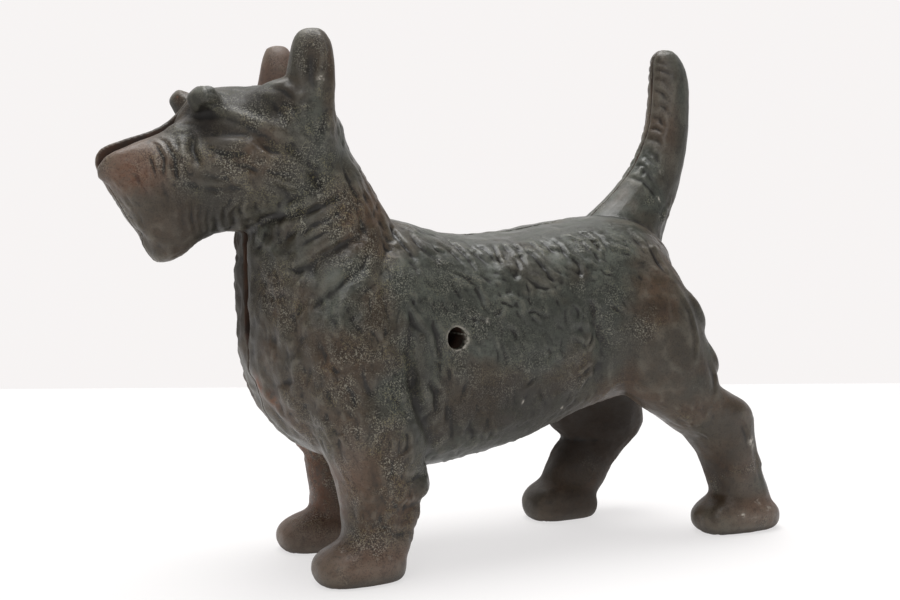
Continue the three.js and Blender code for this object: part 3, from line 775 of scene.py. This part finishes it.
def shift(points, side):
    x, y, z = points.T
    if side < 0:
        # the near half sits lower along the top of the muzzle and further back down the throat
        top = fades((x, -101, -104), (z, 126, 134))
        drop = shifts["muzzle"] + smoothStep(-112, -122, x) + 0.45 * latticeNoise(points, 3.4, 21)
        z -= drop * smoothStep(-8, -0.5, y) * top
        back = fades((x, -40, -36), (x, 5, 2), (z, 104, 108))
        z -= shifts["back"] * smoothStep(-3, -0.4, y) * back
        throat = fades((z, 76, 80), (z, 118, 115), (x, -70, -76), (x, -92, -89))
        x += shifts["throat"] * smoothStep(-5, -0.5, y) * throat
    ear = fades((x, -64, -70), (z, 158, 164), (z, 180, 172))
    x -= (shifts["nearEar"] if side < 0 else shifts["farEar"]) * ear
    x += shifts["brow"] * fades((x, -96, -102.5), (z, 146, 149.5), (np.abs(y), 2, 5))


def trim(points, side):
    # flat soles with a crisp edge, and nothing past the limits of the half
    x, y, z = points.T
    y[:] = np.clip(y, *sorted((side * casting["seam"], side * casting["halfWidth"])))
    z -= casting["soleLoss"] * smoothStep(7, 1.5, z)
    z[:] = np.clip(z, *casting["height"])
    x[:] = np.clip(x, *casting["length"])


def sculpt(nodeName, side):
    piece = roughForm(nodeName, side)
    mesh = applied(piece)
    points = blended(readPoints(mesh), readEdges(mesh))
    for relief in (massRelief, hairRelief):
        writePoints(mesh, points)
        normals = readNormals(mesh)
        points = points + normals * relief(points, normals, side)[:, None]
    shift(points, side)
    writePoints(mesh, points)
    decimate = piece.modifiers.new("thin", "DECIMATE")
    decimate.ratio = min(1, casting["mostFaces"] / (2 * len(mesh.polygons)))
    mesh = applied(piece)
    points = readPoints(mesh)
    trim(points, side)
    writePoints(mesh, points)
    mesh = cutAgain(piece, side)
    print("sculpted", nodeName, len(mesh.polygons))
    finishAttributes(mesh, side)
    mesh.shade_smooth()
    mesh.set_sharp_from_angle(angle=math.radians(casting["sharp"]))
    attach(piece, frame["nodes"][nodeName]["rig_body"])
    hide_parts(nodeName)
    return piece


# What the finish needs to know of each half's screw hole
holes = {
    -1: {"rim": 4.5, "boreEnd": 33.2},
    1: {"rim": 8.4, "boreEnd": 34.6},
}
boreRadius, rimFade = 3.9, 1.6


def finishAttributes(mesh, side):
    # what the finish reads: hollows and raised edges, the room, the patches of the paint, and where shade is
    # painted in
    points, normals, edges = readPoints(mesh), readNormals(mesh), readEdges(mesh)
    count = len(points)
    soft = points
    for name, passes in (("hollow", 5), ("valley", 30)):
        for _ in range(passes):
            soft = neighbourMean(soft, edges, count)
        setAttribute(mesh, name, ((soft - points) * normals).sum(1))
    outside = outsideOf(points, normals, edges)
    print("share outside", round(outside.mean(), 3))
    hole, reach = holes[side], fromScrew(points)
    x, depth, z = points[:, 0], np.abs(points[:, 1]), points[:, 2]
    bore = (reach < boreRadius) & (depth < hole["boreEnd"])
    setAttribute(mesh, "inner", np.where(outside & ~bore, 0.0, 1.0))
    chipped = smoothStep(hole["rim"], hole["rim"] - rimFade, reach)
    if side < 0:
        for chipX, chipZ, radius in chipSpots:
            gap = (x - chipX) ** 2 + (z - chipZ) ** 2
            chipped = np.maximum(chipped, np.exp(-gap / radius**2))
    setAttribute(mesh, "chipped", chipped * (normals[:, 1] * side > 0.2))
    # painted shade: faces turned inward and the foot of each paw are darkened and dulled, where shade and the
    # contact shadow fall
    inward = fades((-normals[:, 1] * side, 0.1, 0.6), (depth, 4, 9))
    paintedShade = np.maximum(placesWeight(points, paintedShadePlaces), 0.45 * inward)
    paintedShade = np.maximum(paintedShade, 0.7 * smoothStep(4.5, 0.4, z))
    pale = placesWeight(points, palePlaces)
    if side > 0:
        paintedShade = np.maximum(paintedShade, placesWeight(points, farPaintedShadePlaces))
        pale = np.maximum(pale, placesWeight(points, farPalePlaces))
    brown = np.maximum(placesWeight(points, brownPlaces), inward) - placesWeight(points, greenPlaces)
    rusty = np.zeros(count)
    for *place, radius, amount in rustSpots:
        rusty += amount * np.exp(-((points - place) ** 2).sum(1) / radius**2)
    sandy = placesWeight(points, sandyPlaces)
    for name, values in (("paintedShade", paintedShade), ("pale", pale), ("brown", brown), ("sandy", sandy), ("rusty", rusty)):
        setAttribute(mesh, name, values)


def linear(*colour):
    # from 0-255 screen values
    parts = [c / 255 for c in colour]
    return tuple(c / 12.92 if c <= 0.04045 else ((c + 0.055) / 1.055) ** 2.4 for c in parts) + (1,)


class Finish:
    # short calls for building a material's nodes

    def __init__(self, name):
        self.material = bpy.data.materials.new(name)
        self.material.use_nodes = True
        self.nodes, self.links = self.material.node_tree.nodes, self.material.node_tree.links
        self.shader = self.nodes["Principled BSDF"]
        self.place = self.nodes.new("ShaderNodeTexCoord").outputs["Object"]

    def put(self, socket, value):
        if isinstance(value, bpy.types.NodeSocket):
            self.links.new(value, socket)
        else:
            socket.default_value = value

    def noise(self, size, detail=3, roughness=0.55):
        # about one patch every `size` millimetres
        node = self.nodes.new("ShaderNodeTexNoise")
        self.links.new(self.place, node.inputs["Vector"])
        node.inputs["Scale"].default_value = 1000 / size
        node.inputs["Detail"].default_value = detail
        node.inputs["Roughness"].default_value = roughness
        return node.outputs["Fac"]

    def attribute(self, name):
        node = self.nodes.new("ShaderNodeAttribute")
        node.attribute_name = name
        return node.outputs["Fac"]

    def between(self, value, low, high, start=0.0, end=1.0):
        node = self.nodes.new("ShaderNodeMapRange")
        node.interpolation_type = "SMOOTHSTEP"
        self.put(node.inputs["Value"], value)
        for name, number in (("From Min", low), ("From Max", high), ("To Min", start), ("To Max", end)):
            node.inputs[name].default_value = number
        return node.outputs["Result"]

    def calc(self, kind, a, b):
        node = self.nodes.new("ShaderNodeMath")
        node.operation = kind
        self.put(node.inputs[0], a)
        self.put(node.inputs[1], b)
        return node.outputs[0]

    def mix(self, share, a, b):
        node = self.nodes.new("ShaderNodeMix")
        node.data_type = "RGBA"
        self.put(node.inputs["Factor"], share)
        self.put(node.inputs["A"], a)
        self.put(node.inputs["B"], b)
        return node.outputs["Result"]

    def bump(self, height, distance, strength, under=None):
        node = self.nodes.new("ShaderNodeBump")
        node.inputs["Distance"].default_value = distance
        node.inputs["Strength"].default_value = strength
        self.put(node.inputs["Height"], height)
        if under is not None:
            self.links.new(under, node.inputs["Normal"])
        return node.outputs["Normal"]


paint = {
    "greenGrey": linear(58, 60, 53),
    "paleGreen": linear(76, 79, 71),
    "brown": linear(67, 53, 37),
    "umber": linear(80, 62, 46),
    "pale": linear(120, 96, 82),
    "dirt": linear(21, 18, 15),
    # dark brown for random stains and for painted shade
    "shade": linear(33, 25, 19),
    # pale bare metal, also used as a painted highlight on raised lips
    "bare": linear(128, 124, 112),
    "bright": linear(196, 190, 178),
    "olive": linear(130, 122, 84),
    "cream": linear(182, 179, 162),
    "rust": linear(146, 78, 34),
    "unpainted": linear(44, 34, 27),
    "unpaintedRust": linear(66, 44, 31),
}
gloss = {"roughness": 0.38, "spread": 0.16, "wornAndHighlit": -0.08, "dull": 0.35, "ior": 1.43}
# Noises of the finish: size in millimetres, detail, roughness
grain = {
    "wide": (30, 4), "mid": (8, 4, 0.6), "small": (1.8, 3, 0.6), "fine": (0.5, 2, 0.7),
    "finer": (0.3, 2, 0.6), "stain": (15, 4, 0.65), "sandPatch": (10, 3, 0.6), "thinSand": (14, 3),
    "fleck": (5, 4, 0.65), "chip": (1.3, 3), "lump": (3.2, 3, 0.55), "pit": (1.1, 2, 0.6),
}
# Heights in metres and strengths of the bumps
bumps = {"lump": (0.0006, 0.22), "pit": (0.00025, 0.34), "sand": (0.0004, 0.8), "skin": (0.0001, 0.25)}
marks = ["hollow", "valley", "chipped", "sandy", "brown", "rusty", "inner", "paintedShade", "pale"]


def paintCoat(f, noise, mark):
    # green-grey gone brown in patches, with dirt in the grain, and painted shade last
    green = f.mix(f.between(noise["mid"], 0.42, 0.66), paint["greenGrey"], paint["paleGreen"])
    earth = f.mix(f.between(noise["mid"], 0.4, 0.62), paint["brown"], paint["umber"])
    brownShare = f.calc("ADD", mark["brown"], f.between(noise["wide"], 0.4, 0.66, -0.2, 0.6))
    colour = f.mix(brownShare, green, earth)
    colour = f.mix(mark["pale"], colour, paint["pale"])
    colour = f.mix(f.between(noise["stain"], 0.52, 0.7, 0, 0.35), colour, paint["shade"])
    colour = f.mix(f.between(noise["small"], 0.5, 0.72, 0, 0.4), colour, paint["dirt"])
    colour = f.mix(f.between(noise["fine"], 0.46, 0.36, 0, 0.4), colour, paint["dirt"])
    # painted shade: the shaded places are darkened towards the dark brown
    return f.mix(f.calc("MULTIPLY", mark["paintedShade"], 0.9), colour, paint["shade"])


def dirtWearAndHighlight(f, noise, mark, colour):
    # dirt in the hollows; what stands proud turns towards bare metal, partly wear and partly a painted
    # highlight on the raised lips
    colour = f.mix(f.between(mark["hollow"], 0.02, 0.26, 0, 0.85), colour, paint["dirt"])
    colour = f.mix(f.between(mark["valley"], 0.15, 1.4, 0, 0.6), colour, paint["dirt"])
    wornAndHighlit = f.calc(
        "MULTIPLY", f.between(mark["hollow"], -0.05, -0.24), f.between(noise["mid"], 0.38, 0.58, 0.25, 1),
    )
    wornAndHighlit = f.calc("MULTIPLY", wornAndHighlit, f.between(mark["paintedShade"], 0.2, 0.9, 1, 0.1))
    # painted highlight and wear: the raised lips are mixed towards the pale bare colour
    return f.mix(f.calc("MULTIPLY", wornAndHighlit, 0.22), colour, paint["bare"]), wornAndHighlit


def sandGrains(f, noise, mark, colour):
    # light and dark grains standing through the paint
    patch = f.calc("MULTIPLY", mark["sandy"], f.between(noise["sandPatch"], 0.4, 0.56))
    patch = f.calc("MAXIMUM", patch, f.between(noise["thinSand"], 0.57, 0.7, 0, 0.5))
    patch = f.calc("MULTIPLY", patch, f.between(mark["paintedShade"], 0.2, 0.9, 1, 0.2))
    light = f.calc("MULTIPLY", patch, f.between(noise["fine"], 0.53, 0.62))
    dark = f.calc("MULTIPLY", patch, f.between(noise["fine"], 0.5, 0.42))
    dots = f.mix(f.between(noise["mid"], 0.45, 0.6), paint["cream"], paint["olive"])
    colour = f.mix(f.calc("MULTIPLY", light, 0.6), colour, dots)
    return f.mix(f.calc("MULTIPLY", dark, 0.8), colour, paint["dirt"]), patch


def rustAndChips(f, noise, mark, colour):
    # rust, and the iron knocked bare round the screw hole
    flecks = f.between(noise["fleck"], 0.7, 0.8, 0, 0.4)
    flecks = f.calc("MULTIPLY", flecks, f.between(mark["paintedShade"], 0.2, 0.8, 1, 0.1))
    rust = f.calc("ADD", mark["rusty"], flecks)
    rust = f.calc("MULTIPLY", rust, f.between(noise["small"], 0.3, 0.6))
    colour = f.mix(rust, colour, paint["rust"])
    chips = f.calc("MULTIPLY", mark["chipped"], f.between(noise["chip"], 0.42, 0.58, 0.08, 1))
    return f.mix(chips, colour, paint["bright"]), rust


def paintedIron():
    f = Finish("wornPaintOnIron")
    noise = {name: f.noise(*values) for name, values in grain.items()}
    mark = {name: f.attribute(name) for name in marks}
    colour = paintCoat(f, noise, mark)
    colour, wornAndHighlit = dirtWearAndHighlight(f, noise, mark, colour)
    colour, patch = sandGrains(f, noise, mark, colour)
    colour, rust = rustAndChips(f, noise, mark, colour)
    # the room and the seam were never painted
    bareRoom = f.mix(f.between(noise["mid"], 0.35, 0.65), paint["unpainted"], paint["unpaintedRust"])
    colour = f.mix(mark["inner"], colour, bareRoom)
    f.put(f.shader.inputs["Base Color"], colour)
    low, high = gloss["roughness"] - gloss["spread"] / 2, gloss["roughness"] + gloss["spread"]
    dull = f.calc("MAXIMUM", mark["inner"], f.calc("MAXIMUM", rust, mark["paintedShade"]))
    rough = f.between(noise["mid"], 0.3, 0.7, low, high)
    rough = f.calc("ADD", rough, f.calc("MULTIPLY", wornAndHighlit, gloss["wornAndHighlit"]))
    rough = f.calc("ADD", rough, f.calc("MULTIPLY", dull, gloss["dull"]))
    f.put(f.shader.inputs["Roughness"], rough)
    f.shader.inputs["IOR"].default_value = gloss["ior"]
    level = f.bump(noise["lump"], *bumps["lump"])
    level = f.bump(noise["pit"], *bumps["pit"], level)
    level = f.bump(f.calc("MULTIPLY", noise["fine"], f.between(patch, 0, 1, 0.2, 1.0)), *bumps["sand"], level)
    f.put(f.shader.inputs["Normal"], f.bump(noise["finer"], *bumps["skin"], level))
    return f.material


iron = paintedIron()
for nodeName, side in (("left_half", -1), ("right_half", 1)):
    half = sculpt(nodeName, side)
    half.data.materials.clear()
    half.data.materials.append(iron)

screw = {
    "radius": 3.1,
    "root": 2.55,  # radius between the threads
    "tip": -22,  # y
    "threadEnd": -5,
    "seat": 34.8,
    "head": 6,  # radius
    "headHeight": 3.4,
    "dome": [(5.55, 1.0), (4.4, 0.45), (2.6, 0.1)],  # radius, depth below the top
    "pole": 0.001,  # radius at each end, where the points are then merged
    "sides": 48,
    "pitch": 1.27,
    "thread": (0.5, 0.08),  # half width at the foot and at the crest
    "stepsInTurn": 28,
    "slotWidth": 1.6,
    "slotDepth": 1.6,
    "bevel": 0.15,
}


def shankAndHead(bm, centre):
    tip, threadEnd, seat, radius, head = (screw[k] for k in ("tip", "threadEnd", "seat", "radius", "head"))
    top = seat + screw["headHeight"]
    profile = [
        (screw["pole"], tip), (screw["root"] - 0.8, tip), (screw["root"], tip + 0.9),
        (screw["root"], threadEnd), (radius, threadEnd + 0.8), (radius, seat),
        (head - 0.3, seat), (head, seat + 0.3), (head, seat + 1.3),
    ]
    profile += [(r, top - drop) for r, drop in screw["dome"]] + [(screw["pole"], top)]
    row = [bm.verts.new(centre + Vector((r / 1000, y / 1000, 0))) for r, y in profile]
    lines = [bm.edges.new(pair) for pair in zip(row[:-1], row[1:])]
    bmesh.ops.spin(
        bm, geom=row + lines, cent=centre, axis=(0, 1, 0), angle=2 * math.pi, steps=screw["sides"],
        use_merge=True,
    )
    bmesh.ops.remove_doubles(bm, verts=bm.verts, dist=2e-6)
    bmesh.ops.holes_fill(bm, edges=bm.edges)


def thread(bm, centre):
    # a ridge wound round the end of the shank
    start = screw["tip"] + 1.4
    foot, crest = screw["thread"]
    inside = screw["root"] - 0.2
    ridge = [(inside, -foot), (screw["radius"], -crest), (screw["radius"], crest), (inside, foot)]
    corners = [bm.verts.new(centre + Vector((r / 1000, (start + y) / 1000, 0))) for r, y in ridge]
    face = bm.faces.new(corners)
    turns = int((screw["threadEnd"] - start) / screw["pitch"])
    steps = turns * screw["stepsInTurn"]
    bmesh.ops.spin(
        bm, geom=[face], cent=centre, axis=(0, 1, 0), angle=2 * math.pi * turns, steps=steps,
        dvec=(0, screw["pitch"] * turns / steps / 1000, 0),
    )


def slotCutter(x, z):
    # a bar wider than the head, 4 mm deep, with its foot at the bottom of the slot
    deep = 4
    y = screw["seat"] + screw["headHeight"] + deep / 2 - screw["slotDepth"]
    bm = bmesh.new()
    grow = Matrix.Diagonal((0.02, deep / 1000, screw["slotWidth"] / 1000, 1))
    bmesh.ops.create_cube(bm, size=1, matrix=Matrix.Translation(spot(x, y, z)) @ grow)
    return newPiece("slotCutter", bm)


def makeScrew():
    bm = bmesh.new()
    x, z = screwPlace["x"], screwPlace["z"]
    centre = spot(x, 0, z)
    shankAndHead(bm, centre)
    thread(bm, centre)
    bmesh.ops.recalc_face_normals(bm, faces=bm.faces)
    piece = newPiece("round_head_screw", bm)
    tool = slotCutter(x, z)
    boolean = piece.modifiers.new("slot", "BOOLEAN")
    boolean.object = tool
    boolean.operation = "DIFFERENCE"
    boolean.solver = "EXACT"
    bevel = piece.modifiers.new("edges", "BEVEL")
    bevel.width = screw["bevel"] / 1000
    bevel.segments = 2
    bevel.limit_method = "ANGLE"
    bevel.angle_limit = math.radians(50)
    mesh = applied(piece)
    bpy.data.objects.remove(tool)
    mesh.shade_smooth()
    mesh.set_sharp_from_angle(angle=math.radians(40))
    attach(piece, frame["nodes"]["screw"]["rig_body"])
    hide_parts("screw")
    print("screw", len(mesh.polygons))
    return piece


steel = {"bright": linear(108, 103, 96), "dull": linear(70, 60, 52), "rust": linear(104, 62, 34)}


def agedSteel():
    f = Finish("agedScrewSteel")
    patch, fine = f.noise(1.8, 4, 0.6), f.noise(0.3, 2)
    colour = f.mix(f.between(patch, 0.42, 0.6), steel["bright"], steel["dull"])
    colour = f.mix(f.between(patch, 0.62, 0.72), colour, steel["rust"])
    f.put(f.shader.inputs["Base Color"], colour)
    f.shader.inputs["Metallic"].default_value = 0.8
    f.put(f.shader.inputs["Roughness"], f.between(patch, 0.3, 0.7, 0.32, 0.6))
    f.put(f.shader.inputs["Normal"], f.bump(fine, 0.0001, 0.4))
    return f.material


steelScrew = makeScrew()
steelScrew.data.materials.append(agedSteel())

studio = {
    "floor": (0.31, 0.305, 0.3),
    "glow": (0.63, 0.62, 0.62),  # light from within the table, which keeps the shadows faint
    "behind": (0.93, 0.905, 0.9),  # what shows behind the dog
    "room": (0.34, 0.34, 0.35),  # the dim side behind the camera
    "fade": (0.35, 0.85),  # cosines of the angle to the view, from the one light to the other
    # place in metres, size, watts
    "lamps": {"overhead": ((-0.05, 0.1, 1.2), 0.9, 17), "front": ((-0.9, -1.2, 0.9), 0.6, 3.5)},
    "aim": (0, 0, 0.1),
    "turn": 27.5,  # degrees between the camera's view and +Y
    "camera": (-208.3, -390.6, 114),
    "lens": 50,
    "fall": 0.0576,  # how far the view drops for each unit forward
    "floorHalf": 3,  # metres
    "floorEdge": 0.455,
}


def plain(name, colour, glow):
    material = bpy.data.materials.new(name)
    material.use_nodes = True
    shader = material.node_tree.nodes["Principled BSDF"]
    shader.inputs["Base Color"].default_value = (*colour, 1)
    shader.inputs["Roughness"].default_value = 0.9
    shader.inputs["Emission Color"].default_value = (*glow, 1)
    shader.inputs["Emission Strength"].default_value = 1
    return material


def makeFloor():
    # a table top that ends behind the dog, so its far edge draws the soft line across the back
    bm = bmesh.new()
    bmesh.ops.create_grid(bm, x_segments=1, y_segments=1, size=studio["floorHalf"])
    bmesh.ops.translate(bm, verts=bm.verts, vec=(0, studio["floorEdge"] - studio["floorHalf"], 0))
    turn = Matrix.Rotation(math.radians(-studio["turn"] + 3), 4, "Z")
    bmesh.ops.transform(bm, matrix=turn, verts=bm.verts)
    floor = newPiece("floor", bm)
    floor.data.materials.append(plain("paleTable", studio["floor"], studio["glow"]))


def makeWorld():
    world = bpy.data.worlds.new("studio")
    bpy.context.scene.world = world
    world.use_nodes = True
    nodes, links = world.node_tree.nodes, world.node_tree.links
    direction = nodes.new("ShaderNodeTexCoord").outputs["Generated"]
    dot = nodes.new("ShaderNodeVectorMath")
    dot.operation = "DOT_PRODUCT"
    links.new(direction, dot.inputs[0])
    turn = math.radians(studio["turn"])
    dot.inputs[1].default_value = (math.sin(turn), math.cos(turn), 0)
    share = nodes.new("ShaderNodeMapRange")
    share.interpolation_type = "SMOOTHSTEP"
    links.new(dot.outputs["Value"], share.inputs["Value"])
    share.inputs["From Min"].default_value, share.inputs["From Max"].default_value = studio["fade"]
    blend = nodes.new("ShaderNodeMix")
    blend.data_type = "RGBA"
    links.new(share.outputs["Result"], blend.inputs["Factor"])
    blend.inputs["A"].default_value = (*studio["room"], 1)
    blend.inputs["B"].default_value = (*studio["behind"], 1)
    links.new(blend.outputs["Result"], nodes["Background"].inputs["Color"])
    nodes["Background"].inputs["Strength"].default_value = 1


def softLight(name, place, size, power):
    light = bpy.data.lights.new(name, "AREA")
    light.size = size
    light.energy = power
    lamp = bpy.data.objects.new(name, light)
    bpy.context.scene.collection.objects.link(lamp)
    lamp.location = place
    lamp.rotation_euler = (Vector(studio["aim"]) - Vector(place)).to_track_quat("-Z", "Y").to_euler()


def makeCamera():
    camera = bpy.data.cameras.new("camera")
    camera.lens = studio["lens"]
    viewer = bpy.data.objects.new("camera", camera)
    bpy.context.scene.collection.objects.link(viewer)
    viewer.location = spot(*studio["camera"])
    viewer.rotation_euler = (math.pi / 2 - math.atan(studio["fall"]), 0, math.radians(-studio["turn"]))
    bpy.context.scene.camera = viewer


makeFloor()
makeWorld()
for name, lamp in studio["lamps"].items():
    softLight(name, *lamp)
makeCamera()
bpy.context.scene.view_settings.view_transform = "Standard"
print("lights and camera set")
